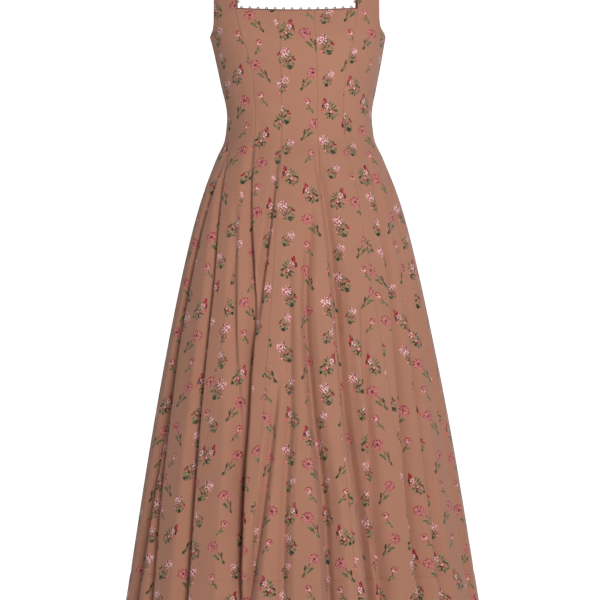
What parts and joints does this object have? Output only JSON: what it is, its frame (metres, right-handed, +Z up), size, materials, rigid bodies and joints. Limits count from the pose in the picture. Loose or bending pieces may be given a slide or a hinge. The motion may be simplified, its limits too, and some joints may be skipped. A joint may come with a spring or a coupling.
{
  "type": "midi dress",
  "caption": "Worn sleeveless midi dress: square neck, wide straps, fitted princess-seamed bodice, flared skirt in soft folds, picot trim, back zip.",
  "frame": {"origin": "midway between the tops of the two straps, at the shoulder seams, where a wearer's shoulders hold the dress up", "axes": "+Z up along the dress, front towards -Y, the wearer's left at +X"},
  "size_m": [0.6074, 0.4994, 1.1702],
  "materials": {
    "cloth": "matt plain-weave cotton, rosy tan with a small scattered flower print",
    "trim": "matt crochet thread, rose-brown",
    "zip_tape": "fine woven polyester tape, dark rose-brown",
    "zip_metal": "antique brass, worn satin"
  },
  "bodies": {
    "dress": {"front_centre": "cloth", "front_mid_left": "cloth", "front_mid_right": "cloth", "front_side_left": "cloth", "front_side_right": "cloth", "back_centre_left": "cloth", "back_centre_right": "cloth", "back_mid_left": "cloth", "back_mid_right": "cloth", "back_side_left": "cloth", "back_side_right": "cloth", "trim_front_neck": "trim", "trim_strap_left": "trim", "trim_strap_right": "trim", "trim_back_neck_left": "trim", "trim_back_neck_right": "trim", "zip_tape_left": "zip_tape", "zip_tape_right": "zip_tape", "zip_slider": "zip_metal"},
    "zip_pull": {"zip_pull": "zip_metal"}
  },
  "joints": [
    {"name": "pull_swing", "type": "hinge", "parent": "dress", "child": "zip_pull", "pos_m": [0, 0.09208, -0.1755], "axis": [1, 0, 0], "range_deg": [0, 150]}
  ]
}
